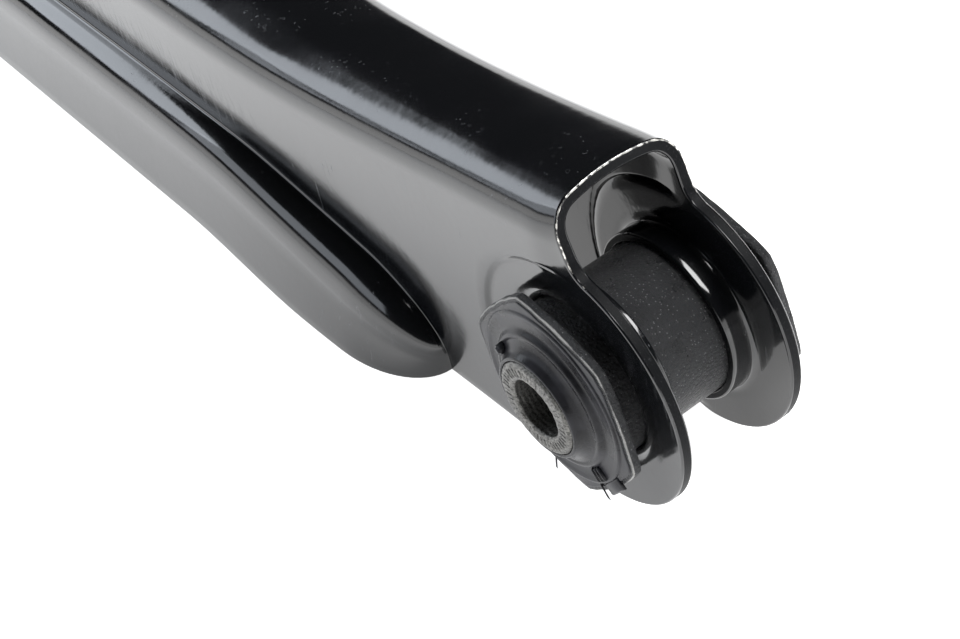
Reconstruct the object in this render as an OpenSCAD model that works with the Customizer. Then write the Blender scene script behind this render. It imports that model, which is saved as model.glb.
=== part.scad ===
// Pressed steel suspension control arm with a rubber bush in each end.
// Frame: origin in the middle of the front bush's bore, bush axes along Y,
// the arm runs from the front bush towards -X, web on top (+Z), open below.

/* [Arm] */
// Distance between the two bush axes
bush_span = 380; // [320:5:460]
// Sheet thickness of the pressing
sheet = 2.5; // [2:0.1:3]
// Height of the web's outer face above the bush axis at the trimmed end
web_height_end = 42.1; // [40:0.1:44]
// Height of the web's outer face above the bush axis along the middle
web_height_mid = 32.6; // [31:0.1:36]
// Length over which the web falls from its end height to its middle height
web_fall_length = 95; // [80:1:120]
// Half of the channel's width at the ears, over the walls
wall_half_end = 15.5; // [15.3:0.1:16.5]
// Half of the channel's width along the middle, over the walls
wall_half_mid = 17.9; // [16.5:0.1:19]
// Outer radius between web and wall at the ends
corner_radius_end = 8; // [6:0.5:9]
// Outer radius between web and wall along the middle
corner_radius_mid = 9.5; // [8:0.5:12]
// Radius of the web's slight crown across the arm
web_crown = 45; // [40:1:90]

/* [Skirt] */
// Distance from the bush axis to where the skirt leaves the wall
skirt_start = 47; // [44:1:60]
// Length of the skirt's rounded nose
nose_length = 23; // [18:1:30]
// Length over which the skirt settles from its widest place to the middle
settle_length = 64; // [50:1:80]
// How far the bottom edge stands out from the wall at the nose
edge_out_nose = 12.25; // [10:0.05:14]
// How far the bottom edge stands out from the wall along the middle
edge_out_mid = 10.85; // [9:0.05:12]
// How far the shelf stands out from the wall at the nose
step_out_nose = 8.8; // [7:0.1:10]
// How far the shelf stands out from the wall along the middle
step_out_mid = 8; // [6:0.1:10]
// Height of the shelf above the bush axis along the middle
shelf_mid = 2.2; // [-4:0.1:6]
// Height of the bottom edge below the bush axis at the nose
bottom_drop = 29; // [28.5:0.1:31]
// How much higher the bottom edge runs along the middle
bottom_rise = 3.8; // [0:0.1:5]

/* [Ears] */
// Radius of the round ears
ear_radius = 28; // [26.8:0.1:28.4]
// Distance from the middle plane to an ear's outer face
ear_outer = 14.7; // [14.2:0.1:15]
// Radius of the flat round pad pressed into each wall
pad_radius = 26.2; // [25:0.1:26.4]
// Outer radius of the collar drawn inwards around each ear's hole
collar_radius = 18.3; // [18:0.1:19]
// Depth of the collar inwards from the ear's inner face
collar_depth = 5.2; // [3:0.1:7]

/* [Bush] */
// Outer radius of the bush's outer sleeve
outer_sleeve_radius = 16.5; // [16:0.1:17]
// Wall of the outer sleeve
outer_sleeve_wall = 1.5; // [1:0.1:2]
// Distance from the middle plane to the outer face of a hexagonal flange
flange_face = 20.8; // [20:0.1:22]
// Thickness of a hexagonal flange
flange_thickness = 2; // [1.5:0.1:2.5]
// Distance from the axis to a flat of the flange
flange_flat = 20.3; // [19.5:0.1:21]
// Radius of the flange's rounded corners
flange_corner = 22.7; // [21.5:0.1:23]
// Angle by which the flange is turned about the bush axis
flange_turn = 15; // [0:1:60]
// Half length of the inner sleeve
inner_half_length = 25.5; // [24.5:0.1:28]
// Outer radius of the inner sleeve
inner_sleeve_radius = 10; // [9:0.1:11]
// Radius of the bolt bore in the inner sleeve
bolt_bore_radius = 6.15; // [5:0.05:7]
// Running gap between the inner sleeve and the rubber around it
twist_gap = 0.05; // [0.02:0.01:0.1]

/* [Hidden] */
$fn = 96;

paint_colour = "#16171a";
coat_colour = "#2a2b2d";
rubber_colour = "#3a3b3e";
steel_colour = "#8e8d8a";

ear_inner = ear_outer - sheet;
rubber_radius = outer_sleeve_radius - outer_sleeve_wall;
trim_lean = 4.2;                  // how far the trimmed wall leans out past the bush axis
trim_margin = 6;                  // length of the raw channel past the bush axis
wall_start = 25;                  // where the walls begin to spread
wall_spread = 110;                // length over which they spread
corner_spread = 120;              // length over which the top corners grow
web_fall_power = 1.6;             // shape of the web's fall
shelf_bend = 112;                 // where the shelf starts to fall, going to the ear
shelf_bend_round = 14;            // how gently it starts to fall
shelf_slope = 0.215;              // how steeply it falls
hollow_height = 1.5;              // height of the tight hollow between wall and shelf
hollow_share = 0.1;               // its width as a share of the shelf's
crest_share = 1.15;               // height of the shelf's rounded crest as a share of its width
least_round = 1;                  // smallest height of hollow and crest
skirt_bow = 0.3;                  // outward bow of the skirt
bottom_run = 40;                  // length of the bottom edge that runs up to the ear
rise_start = 85;                  // where the bottom edge starts to rise to the middle
rise_run = 50;                    // length over which it rises
least_skirt = 4;                  // height kept for the skirt where it starts
web_steps = 3;
arc_steps = 6;
hollow_steps = 3;
crest_steps = 5;
end_steps = 4;                    // stations from the end to the skirt, then along its nose
nose_steps = 7;
settle_steps = 6;                 // and from the nose to the middle
end_gap = 3;                      // the last station before the skirt is this far from it

// ---- small functions -------------------------------------------------------
function ease(t) = let (u = min(1, max(0, t))) u * u * (3 - 2 * u);
function bezier(a, b, c, t) = (1 - t) * (1 - t) * a + 2 * t * (1 - t) * b + t * t * c;

// ---- how the section changes with the distance s from the nearer bush axis ----
function web_z(s) =
    web_height_mid + (web_height_end - web_height_mid) * pow(max(0, 1 - s / web_fall_length), web_fall_power);
function wall_y(s) =
    wall_half_end + (wall_half_mid - wall_half_end) * ease((s - wall_start) / wall_spread);
function corner_r(s) =
    corner_radius_end + (corner_radius_mid - corner_radius_end) * ease(s / corner_spread);
// The skirt's rounded nose in plan, from 0 to 1, for a face that lies depth below the outer one
function nose(s, depth) =
    let (length = nose_length - depth,
         u = min(1, max(0, (skirt_start + nose_length - s) / length))) sqrt(1 - u * u);
function settled(s) = ease((s - skirt_start - nose_length) / settle_length);
function edge_out(s) = edge_out_nose + (edge_out_mid - edge_out_nose) * settled(s);
function step_out(s) = step_out_nose + (step_out_mid - step_out_nose) * settled(s);
function bottom_z(s) =
    -ear_radius - (bottom_drop - ear_radius) * ease(s / bottom_run) + bottom_rise * ease((s - rise_start) / rise_run);
function shelf_z(s, depth) =
    let (before = shelf_bend - s,
         straight = shelf_mid - shelf_slope * (before + sqrt(before * before + shelf_bend_round * shelf_bend_round)) / 2,
         low = bottom_z(s) + least_skirt)
    max(low, straight + (1 - nose(s, depth)) * (low - straight));

// Half a section of the face that lies depth below the outer one, as [y, z] from the web's
// centre line to the bottom edge
function half_outline(s, depth) =
    let (w = wall_y(s) - depth, top = web_z(s) - depth, r = corner_r(s) - depth,
         crown = web_crown - depth,
         tilt = asin((w - r) / (crown - r)),
         centre = [w - r, top - crown + (crown - r) * cos(tilt)],
         out = nose(s, depth),
         step = out * step_out(s),
         foot = [w, shelf_z(s, depth) - depth],
         hollow_top = foot + [0, least_round + (hollow_height + depth - least_round) * out],
         hollow_end = foot + [min(hollow_share * step + depth * out, step / 2), 0],
         reach = step - (hollow_end[0] - foot[0]),
         fall = max(least_round, crest_share * step - depth),
         crest_end = foot + [step, -fall],
         edge = [w + out * edge_out(s), bottom_z(s)])
    concat(
        [for (i = [0 : web_steps - 1]) let (a = tilt * i / web_steps)
            [crown * sin(a), top - crown * (1 - cos(a))]],
        [for (i = [0 : arc_steps]) let (a = tilt + (90 - tilt) * i / arc_steps) centre + r * [sin(a), cos(a)]],
        [for (i = [0 : hollow_steps]) bezier(hollow_top, foot, hollow_end, i / hollow_steps)],
        [for (i = [1 : crest_steps]) let (a = 90 * i / crest_steps) hollow_end + [reach * sin(a), fall * (cos(a) - 1)]],
        [(crest_end + edge) / 2 + [skirt_bow * out, 0], edge]);

// The whole outline, from the bottom edge at -Y over the web to the one at +Y
function outline(s, depth) =
    let (half = half_outline(s, depth), n = len(half))
    concat([for (i = [n - 1 : -1 : 1]) [-half[i][0], half[i][1]]], half);

// ---- the channel as a swept shell -----------------------------------------
nose_end = skirt_start + nose_length;
end_stations = [for (i = [0 : end_steps])
    -trim_margin + i * (skirt_start - end_gap + trim_margin) / end_steps];
nose_stations = [for (i = [0 : nose_steps]) skirt_start + nose_length * (1 - cos(90 * i / nose_steps))];
settle_stations = [for (i = [1 : settle_steps]) nose_end + settle_length * i / settle_steps];
half_stations = concat(end_stations, nose_stations, settle_stations);
last_station = len(half_stations) - 1;
stations = concat([for (s = half_stations) -s],
                  [for (i = [last_station : -1 : 0]) -bush_span + half_stations[i]]);
rows = len(stations);

function station_s(x) = min(-x, bush_span + x);
function grid(depth) = [for (x = stations) [for (p = outline(station_s(x), depth)) [x, p[0], p[1]]]];

outer_grid = grid(0);
inner_grid = grid(sheet);
columns = len(outer_grid[0]);

module channel_shell() {
    inner_start = rows * columns;
    points = concat([for (row = outer_grid) each row], [for (row = inner_grid) each row]);
    function at(i, j) = i * columns + j;
    function quad(a, b, c, d) = [[a, b, c], [a, c, d]];
    outer_faces = [for (i = [0 : rows - 2]) for (j = [0 : columns - 2])
        each quad(at(i, j), at(i + 1, j), at(i + 1, j + 1), at(i, j + 1))];
    inner_faces = [for (f = outer_faces) [f[2] + inner_start, f[1] + inner_start, f[0] + inner_start]];
    edge_faces = [for (i = [0 : rows - 2]) for (j = [0, columns - 1])
        let (a = at(i, j), b = at(i + 1, j), first = j == 0)
        each (first ? quad(b, a, a + inner_start, b + inner_start)
                    : quad(a, b, b + inner_start, a + inner_start))];
    end_faces = [for (j = [0 : columns - 2]) for (i = [0, rows - 1])
        let (a = at(i, j), b = at(i, j + 1), last = i == rows - 1)
        each (last ? quad(b, a, a + inner_start, b + inner_start)
                   : quad(a, b, b + inner_start, a + inner_start))];
    polyhedron(points, concat(outer_faces, inner_faces, edge_faces, end_faces));
}

// Side outline that trims both ends of the channel above and below the ears
module trim_outline() {
    far = -bush_span;
    margin = 10;
    high = web_height_end + margin;
    low = -bottom_drop - margin;
    reach = trim_lean * (high - ear_radius) / (web_height_end - ear_radius);
    polygon([[trim_lean - reach, high], [trim_lean, ear_radius], [trim_lean, 0], [0, low],
             [far, low], [far - trim_lean, 0], [far - trim_lean, ear_radius], [far - trim_lean + reach, high]]);
}

// ---- ears -------------------------------------------------------------------
// Points its child's Z axis along +Y or, with side = -1, along -Y
module toward_side(side) {
    rotate([side > 0 ? -90 : 90, 0, 0]) children();
}

// One round ear with its drawn collar, on the side given
module ear(side) {
    fillet = 1.8;                 // between ear and collar, inside
    rim = 0.7;                    // bevel of the ear's outer rim
    entry = 1.2;                  // bevel that leads the sleeve in
    fillet_steps = 6;
    corner = [collar_radius + fillet, ear_inner - fillet];
    toward_side(side)
        rotate_extrude()
            polygon(concat(
                [[outer_sleeve_radius, ear_inner - collar_depth], [collar_radius, ear_inner - collar_depth]],
                [for (i = [0 : fillet_steps]) let (a = 90 * i / fillet_steps) corner + fillet * [-cos(a), sin(a)]],
                [[ear_radius, ear_inner], [ear_radius, ear_outer - rim], [ear_radius - rim, ear_outer],
                 [outer_sleeve_radius + entry, ear_outer], [outer_sleeve_radius, ear_outer - entry]]));
}

module arm_pressing() {
    color(paint_colour) {
        difference() {
            intersection() {
                channel_shell();
                rotate([90, 0, 0]) linear_extrude(4 * wall_half_mid, center = true) trim_outline();
            }
            for (x = [0, -bush_span]) translate([x, 0, 0])
                rotate([90, 0, 0]) cylinder(r = pad_radius, h = 4 * wall_half_mid, center = true);
        }
        for (x = [0, -bush_span]) translate([x, 0, 0])
            for (side = [-1, 1]) ear(side);
    }
}

// ---- bush -------------------------------------------------------------------
module ring(outer, inner, low, high) {
    translate([0, 0, low]) difference() {
        cylinder(r = outer, h = high - low);
        translate([0, 0, -1]) cylinder(r = inner, h = high - low + 2);
    }
}

// Hexagonal flange with rounded corners, its outer face at flange_face
module hex_flange(side, bore) {
    toward_side(side) translate([0, 0, flange_face - flange_thickness]) difference() {
        intersection() {
            cylinder(r = flange_corner, h = flange_thickness);
            rotate([0, 0, -side * flange_turn])
                cylinder(r = flange_flat / cos(30), h = flange_thickness, $fn = 6);
        }
        translate([0, 0, -1]) cylinder(r = bore, h = flange_thickness + 2);
    }
}

module outer_sleeve() {
    color(coat_colour) {
        toward_side(1)
            ring(outer_sleeve_radius, rubber_radius, -flange_face + flange_thickness, flange_face);
        hex_flange(-1, rubber_radius);
    }
}

module end_plate() {
    color(coat_colour) hex_flange(1, outer_sleeve_radius);
}

// Rubber spring: fills the sleeve and stands proud of both flanges around the inner sleeve
module rubber_spring() {
    bore = inner_sleeve_radius + twist_gap;
    lip_radius = 18.7;            // the moulded lip that lies on each flange
    lip_bevel = 0.4;
    lip = flange_face + 0.6;
    // radius and height of the moulded face, from its neck around the inner sleeve to its lip
    face = [[bore, 24.6], [10.8, 24.6], [11.4, 23.2], [13.5, 22.3], [14.6, 21], [17.6, lip],
            [lip_radius, lip - lip_bevel], [lip_radius, flange_face], [rubber_radius, flange_face]];
    last = len(face) - 1;
    color(rubber_colour) toward_side(1) rotate_extrude()
        polygon(concat([for (p = face) [p[0], -p[1]]], [for (i = [last : -1 : 0]) face[i]]));
}

module inner_sleeve() {
    chamfer = 0.6;
    low = -inner_half_length;
    high = inner_half_length;
    color(steel_colour) toward_side(1) rotate_extrude()
        polygon([[bolt_bore_radius, low], [inner_sleeve_radius - chamfer, low],
                 [inner_sleeve_radius, low + chamfer], [inner_sleeve_radius, high - chamfer],
                 [inner_sleeve_radius - chamfer, high], [bolt_bore_radius, high]]);
}

module at_rear() {
    translate([-bush_span, 0, 0]) children();
}

arm_pressing();
outer_sleeve();  // front_outer_sleeve
end_plate();  // front_end_plate
rubber_spring();  // front_rubber
inner_sleeve();  // front_inner_sleeve
at_rear() outer_sleeve();  // rear_outer_sleeve
at_rear() end_plate();  // rear_end_plate
at_rear() rubber_spring();  // rear_rubber
at_rear() inner_sleeve();  // rear_inner_sleeve
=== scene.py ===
"""Looks of a pressed steel suspension control arm with a rubber bush in each end.

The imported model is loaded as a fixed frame, in metres: the front bush's bore is at the
origin, the bush axes run along Y, the arm runs towards -X and its web faces +Z. Every
piece below replaces a CAD node of the same place and size with a finer mesh, or adds a
small detail to one. Shape functions and class constants work in millimetres.
"""

import math
from typing import NamedTuple

import bmesh
import bpy
import numpy as np
from bpy.props import FloatProperty, FloatVectorProperty, IntProperty, PointerProperty
from mathutils import Matrix, Vector


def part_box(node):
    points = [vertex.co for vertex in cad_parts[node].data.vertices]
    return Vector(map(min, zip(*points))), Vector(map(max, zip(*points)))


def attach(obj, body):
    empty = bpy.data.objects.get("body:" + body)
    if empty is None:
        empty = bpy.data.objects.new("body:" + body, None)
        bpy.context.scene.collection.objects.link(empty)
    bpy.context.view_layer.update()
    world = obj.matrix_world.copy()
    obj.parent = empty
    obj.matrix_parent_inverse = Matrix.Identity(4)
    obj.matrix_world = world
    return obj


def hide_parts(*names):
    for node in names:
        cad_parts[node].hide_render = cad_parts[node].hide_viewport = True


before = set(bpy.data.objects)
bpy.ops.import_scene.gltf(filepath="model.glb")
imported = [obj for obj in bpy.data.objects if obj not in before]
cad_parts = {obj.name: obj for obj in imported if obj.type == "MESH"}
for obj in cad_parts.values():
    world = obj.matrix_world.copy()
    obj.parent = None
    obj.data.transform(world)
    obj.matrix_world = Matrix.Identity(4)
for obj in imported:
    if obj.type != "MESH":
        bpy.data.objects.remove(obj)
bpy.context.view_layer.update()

bl_info = {
    "name": "Pressed control arm",
    "version": (1, 0, 0),
    "blender": (4, 5, 0),
    "location": "View3D > Sidebar > Control Arm",
    "description": "Builds the looks of a pressed steel control arm with two rubber bushes",
    "category": "Object",
}

MM = 0.001
BUSHES = ("front", "rear")
WELD = 0.002                 # points closer than this, in mm, are one point
SAME_PLACE = 1e-7            # the same for a turned piece's points, in metres
QUARTER = math.pi / 2

EDGE_ROUND = 0.4             # rounding of the sheet's cut edges, mm
EDGE_STEPS = 3               # rows of points in one rounding
EDGE_LAND = 0.15             # flat land between a rounding and the middle of the cut, mm
RIM_WEAR = (0.75, 1.0, 0.9, 0.25, 0.1, 0.15, 0.2, 0.15)     # bare metal over the rim's rows
FACE_WEAR = 0.3              # bare metal on the outer face, where the rim starts


# ---- sizes and colours a user would change ---------------------------------

def linear(code):
    """Linear colour with alpha from an sRGB hex code."""
    parts = [int(code[i:i + 2], 16) / 255 for i in (1, 3, 5)]
    return tuple(c / 12.92 if c <= 0.04045 else ((c + 0.055) / 1.055) ** 2.4 for c in parts) + (1.0,)


def length(name, description, default):
    """A length property; its default is given in millimetres."""
    return FloatProperty(name=name, description=description, default=default * MM, unit="LENGTH")


def colour(name, description, code):
    """A colour property from an sRGB hex code."""
    return FloatVectorProperty(
        name=name, description=description, default=linear(code)[:3], size=3, subtype="COLOR")


class ArmSizes(bpy.types.PropertyGroup):
    """Sizes of the pressing, measured over its outer face."""

    span: length("Bush span", "Distance between the two bush axes", 380)
    sheet: length("Sheet", "Thickness of the pressed sheet", 2.5)
    collar_sheet: length("Collar sheet", "Thickness of the sheet where it is drawn into a collar", 1.8)
    web_end: length("Web height at the end", "Height of the web above the bush axis at the trim", 42.1)
    web_middle: length("Web height in the middle", "Height of the web above the bush axis", 32.6)
    web_crown: length("Web crown radius", "Radius of the web's slight crown across the arm", 45)
    wall_end: length("Half width at the ears", "Distance from the middle plane to a wall", 15.5)
    wall_middle: length("Half width in the middle", "Distance from the middle plane to a wall", 17.9)
    corner_end: length("Corner radius at the ears", "Radius between web and wall", 8)
    corner_middle: length("Corner radius in the middle", "Radius between web and wall", 9.5)
    step_nose: length("Skirt step at the nose", "How far the skirt stands out from the wall", 8.8)
    step_middle: length("Skirt step in the middle", "How far the skirt stands out from the wall", 8)
    edge_nose: length("Skirt width at the nose", "How far the bottom edge stands out there", 12.2)
    edge_middle: length("Skirt width in the middle", "How far the bottom edge stands out", 10.8)
    ear_radius: length("Ear radius", "Radius of the round ears", 28)
    pad_radius: length("Pad radius", "Radius of the flat pad pressed in around each hole", 26.2)


class BushSizes(bpy.types.PropertyGroup):
    """Sizes of one rubber bush."""

    sleeve_radius: length("Outer sleeve radius", "Outer radius of the outer sleeve", 16.5)
    sleeve_wall: length("Outer sleeve wall", "Wall of the outer sleeve", 1.5)
    flange_face: length("Flange face", "Distance from the middle plane to a flange's outer face", 20.8)
    flange_thickness: length("Flange thickness", "Thickness of a six-sided flange", 2)
    flange_flat: length("Flange flat", "Distance from the axis to a flat of the flange", 20.3)
    flange_corner: length("Flange corner", "Radius of the flange's rounded corners", 22.7)
    flange_turn: FloatProperty(
        name="Flange turn", description="Angle by which the flange is turned about the axis",
        default=math.radians(15), subtype="ANGLE")
    inner_half: length("Inner sleeve half length", "Half length of the inner sleeve", 25.5)
    inner_radius: length("Inner sleeve radius", "Outer radius of the inner sleeve", 10)
    bore_radius: length("Bolt bore radius", "Radius of the bolt bore", 6.15)
    teeth: IntProperty(
        name="Clamp teeth", description="Number of fine teeth pressed into each clamp face",
        default=44, min=12, max=96)
    tooth_seed: IntProperty(
        name="Tooth seed", description="Seed of the small differences between teeth", default=7)


class Finishes(bpy.types.PropertyGroup):
    """Colours of the object and strength of the studio light."""

    paint: colour("Paint", "Black electrocoat", "#0b0c0e")
    coat: colour("Sleeve coat", "Rough black coat", "#1b1b1c")
    rubber: colour("Rubber", "Moulded rubber", "#161618")
    steel: colour("Steel", "Cut steel between its dark pits", "#6f6e6b")
    top_light: FloatProperty(
        name="Top light", description="Power of the overhead softbox", default=30.0, unit="POWER")
    side_light: FloatProperty(
        name="Side light", description="Power of the low softbox beside the arm",
        default=4.2, unit="POWER")
    table_glow: FloatProperty(
        name="Table glow", description="Strength of the light table under the arm", default=1.6)


# ---- small helpers -----------------------------------------------------------

def take(target, sizes, *keys):
    """Copies length properties to an object's attributes, in millimetres."""
    for key in keys:
        setattr(target, key, getattr(sizes, key) / MM)


def ease(t):
    """Smooth step from 0 at t = 0 to 1 at t = 1."""
    u = np.clip(t, 0.0, 1.0)
    return u * u * (3 - 2 * u)


def curve(a, b, c, count):
    """Points of a parabola from a to c that leaves and arrives towards b."""
    t = np.linspace(0, 1, count)[:, None]
    return (1 - t) ** 2 * a + 2 * t * (1 - t) * b + t * t * c


def link_object(name, data):
    """A new object in the scene."""
    made = bpy.data.objects.new(name, data)
    bpy.context.scene.collection.objects.link(made)
    return made


def new_object(name, points, faces, material, attributes=None):
    """A smooth mesh object from points in millimetres."""
    mesh = bpy.data.meshes.new(name)
    mesh.from_pydata((np.asarray(points) * MM).tolist(), [], [tuple(map(int, f)) for f in faces])
    for key, values in (attributes or {}).items():
        layer = mesh.attributes.new(key, "FLOAT", "POINT")
        layer.data.foreach_set("value", np.asarray(values, np.float32))
    mesh.shade_smooth()
    mesh.materials.append(material)
    return link_object(name, mesh)


def finish_piece(piece, body, slot, *nodes):
    """Closes a piece off: it rides on its body and stands for its CAD nodes; the slot is not used."""
    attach(piece, body)
    if nodes:
        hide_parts(*nodes)


def feed(made, settings):
    """Gives a node its settings: properties of its own, values of sockets, or results to link."""
    for key, value in settings.items():
        if isinstance(key, str) and hasattr(made, key) and key not in made.inputs:
            setattr(made, key, value)
        elif isinstance(value, bpy.types.NodeSocket):
            made.id_data.links.new(value, made.inputs[key])
        else:
            made.inputs[key].default_value = value
    return made


def node(tree, kind, settings=None):
    """Adds a node with its settings."""
    return feed(tree.nodes.new(kind), settings or {})


class Nodes:
    """A node tree. Each method adds a node and returns its result. Wherever a value goes in,
    the result of another node can go in too. Sizes are in metres."""

    def __init__(self, tree, coordinates=None):
        self.tree = tree
        if coordinates:
            self.place = self.result("ShaderNodeTexCoord", {}, coordinates)

    def result(self, kind, settings, output=0):
        return node(self.tree, kind, settings).outputs[output]

    def maths(self, operation, *values):
        return self.result("ShaderNodeMath", {"operation": operation, **dict(enumerate(values))})

    def noise(self, size, detail, place=None, **more):
        """Noise with patches about `size` across."""
        return self.result("ShaderNodeTexNoise", {
            "Scale": 1 / size, "Detail": detail, "Vector": self.place if place is None else place,
            **more})

    def drawn_out(self, rotation, sizes):
        """The place, turned and measured in units of the three sizes, for stretched patterns."""
        return self.result("ShaderNodeMapping", {
            "Rotation": rotation, "Scale": [1 / size for size in sizes], "Vector": self.place})

    def ramp(self, source, *stops):
        """Grey ramp from (position, grey) stops."""
        made = node(self.tree, "ShaderNodeValToRGB", {0: source})
        elements = made.color_ramp.elements
        while len(elements) > 1:
            elements.remove(elements[0])
        for i, (position, grey) in enumerate(stops):
            stop = elements[0] if i == 0 else elements.new(position)
            stop.position = position
            stop.color = (grey, grey, grey, 1.0)
        return made.outputs[0]

    def remap(self, source, first, last, low, high):
        """The range from first to last, carried over to low and high."""
        return self.result("ShaderNodeMapRange", {
            "Value": source, "From Min": first, "From Max": last, "To Min": low, "To Max": high})

    def tint(self, share, first, second, mode="MIX"):
        """Colour between two colours."""
        return self.result("ShaderNodeMix", {
            "data_type": "RGBA", "blend_type": mode, 0: share, 6: first, 7: second}, 2)

    def between(self, share, first, second):
        """Value between two values."""
        return self.result("ShaderNodeMix", {"data_type": "FLOAT", 0: share, 2: first, 3: second})

    def bump(self, height, strength, depth, under=None):
        """Relief of a given depth, on top of another relief."""
        below = {} if under is None else {"Normal": under}
        return self.result("ShaderNodeBump", {
            "Height": height, "Strength": strength, "Distance": depth, **below})

    def wear(self):
        """The wear stored in the mesh."""
        return self.result("ShaderNodeAttribute", {"attribute_name": "wear"}, "Fac")


# ---- the pressing's section ----------------------------------------------------

class Section:
    """Outer face of half a section, as a function of the distance s from the nearer bush axis."""

    web_fall, web_fall_power = 95, 1.6    # the web falls over this length, faster at the ear
    most_tilt = 0.5              # sine of the web's steepest slope across the arm
    wall_start, wall_spread = 25, 110
    corner_spread = 120
    skirt_start, nose_length, settle_length = 47, 23, 64
    shelf_middle = 2.2           # height of the skirt's shelf along the middle
    shelf_bend, shelf_bend_round = 112, 14        # where the shelf starts to fall, going to the ear
    shelf_slope = 0.215          # how steeply it falls
    bottom_end, bottom_nose, bottom_run = -28, -28.3, 40
    bottom_rise, bottom_rise_start, bottom_rise_run = 3.8, 85, 50    # the edge rises to the middle
    least_skirt = 4.0
    hollow_share = 0.10          # hollow between wall and shelf, as a share of the shelf's width
    hollow_least, hollow_height = 1.0, 1.5
    crest_share, crest_least = 1.15, 1.0          # height of the shelf's rounded crest, likewise
    skirt_bow = 0.3              # how far the skirt bulges out
    # points along each stretch of the outline
    rows = {"web": 9, "corner": 16, "wall": 9, "hollow": 9, "crest": 13, "skirt": 7}

    def __init__(self, sizes):
        take(self, sizes, "web_end", "web_middle", "web_crown", "wall_end", "wall_middle",
             "corner_end", "corner_middle", "step_nose", "step_middle", "edge_nose", "edge_middle")

    def web_z(self, s):
        """Height of the web."""
        fall = np.maximum(0, 1 - s / self.web_fall) ** self.web_fall_power
        return self.web_middle + (self.web_end - self.web_middle) * fall

    def wall_y(self, s):
        """Distance of the wall from the middle plane."""
        spread = ease((s - self.wall_start) / self.wall_spread)
        return self.wall_end + (self.wall_middle - self.wall_end) * spread

    def corner_r(self, s):
        return self.corner_end + (self.corner_middle - self.corner_end) * ease(s / self.corner_spread)

    def nose(self, s):
        """Share of the skirt's full width that its round nose has reached."""
        u = np.clip((self.skirt_start + self.nose_length - s) / self.nose_length, 0, 1)
        return np.sqrt(1 - u * u)

    def settled(self, s, nose_value, middle_value):
        """A width of the skirt: one value at its nose, another along the middle, none at the ear."""
        share = ease((s - self.skirt_start - self.nose_length) / self.settle_length)
        return self.nose(s) * (nose_value + (middle_value - nose_value) * share)

    def bottom_z(self, s):
        nose = self.bottom_end + (self.bottom_nose - self.bottom_end) * ease(s / self.bottom_run)
        return nose + self.bottom_rise * ease((s - self.bottom_rise_start) / self.bottom_rise_run)

    def shelf_z(self, s):
        """Height of the skirt's shelf, which bends down softly towards the ear."""
        before = self.shelf_bend - s
        past = 0.5 * (before + np.sqrt(before * before + self.shelf_bend_round ** 2))
        straight = self.shelf_middle - self.shelf_slope * past
        low = self.bottom_z(s) + self.least_skirt
        return np.maximum(low, straight + (1 - self.nose(s)) * (low - straight))

    def outline(self, s):
        """Points [y, z] of half a section, web centre line first, bottom edge last."""
        w, top, r = self.wall_y(s), self.web_z(s), self.corner_r(s)
        tilt = math.asin(min(self.most_tilt, (w - r) / (self.web_crown - r)))
        crown = self.web_crown
        centre = np.array([w - r, top - crown + (crown - r) * math.cos(tilt)])
        a = np.linspace(0, tilt, self.rows["web"], endpoint=False)
        web = np.stack([crown * np.sin(a), top - crown * (1 - np.cos(a))], 1)
        a = np.linspace(tilt, QUARTER, self.rows["corner"])
        corner = centre + r * np.stack([np.sin(a), np.cos(a)], 1)
        step = self.settled(s, self.step_nose, self.step_middle)
        shelf = self.shelf_z(s)
        edge = np.array([w + self.settled(s, self.edge_nose, self.edge_middle),
                         self.bottom_z(s) + EDGE_ROUND])
        foot = np.array([w, shelf])
        hollow_rise = (self.hollow_height - self.hollow_least) * self.nose(s)
        hollow_top = foot + [0, self.hollow_least + hollow_rise]
        hollow_end = foot + [self.hollow_share * step, 0]
        reach = step - (hollow_end - foot)[0]
        fall = max(self.crest_least, self.crest_share * step)
        crest_end = foot + [step, -fall]
        wall = np.linspace(corner[-1], hollow_top, self.rows["wall"] + 1)[1:-1]
        hollow = curve(hollow_top, foot, hollow_end, self.rows["hollow"])
        a = np.linspace(0, QUARTER, self.rows["crest"])[1:]
        round_off = hollow_end + np.stack([reach * np.sin(a), fall * (np.cos(a) - 1)], 1)
        bow = (crest_end + edge) / 2 + [self.skirt_bow * self.nose(s), 0]
        skirt = curve(crest_end, bow, edge, self.rows["skirt"])[1:]
        return np.concatenate([web, corner, wall, hollow, round_off, skirt])


# ---- sheet metal ---------------------------------------------------------------

class Surface:
    """Patches of quads welded into one surface."""

    def __init__(self):
        self.points, self.quads, self.thickness = [], [], []
        self.count = 0

    def patch(self, grid, thickness):
        """Adds a grid of points [rows, columns, xyz]; thickness is one value or one per point."""
        rows, columns = grid.shape[:2]
        index = np.arange(rows * columns).reshape(rows, columns) + self.count
        corners = (index[:-1, :-1], index[1:, :-1], index[1:, 1:], index[:-1, 1:])
        self.quads.append(np.stack(corners, -1).reshape(-1, 4))
        self.points.append(grid.reshape(-1, 3))
        self.thickness.append(np.broadcast_to(thickness, (rows, columns)).reshape(-1))
        self.count += rows * columns

    def mirrored(self, axis, place):
        """Adds the mirror image of everything so far about a plane across an axis."""
        points = np.concatenate(self.points).copy()
        points[:, axis] = 2 * place - points[:, axis]
        self.quads += [q[:, ::-1] + self.count for q in list(self.quads)]
        self.points = [np.concatenate(self.points), points]
        self.thickness = [np.concatenate(self.thickness)] * 2
        self.count *= 2

    def welded(self):
        """Points, faces and thickness, with points on top of each other made one."""
        points = np.concatenate(self.points)
        _, first, inverse = np.unique(
            np.round(points / WELD).astype(np.int64), axis=0, return_index=True, return_inverse=True)
        inverse = inverse.reshape(-1)
        faces = []
        for quad in inverse[np.concatenate(self.quads)]:
            corners = [v for i, v in enumerate(quad) if v != quad[i - 1]]
            if len(set(corners)) > 2:
                faces.append(corners)
        return points[first], faces, np.concatenate(self.thickness)[first]


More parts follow.
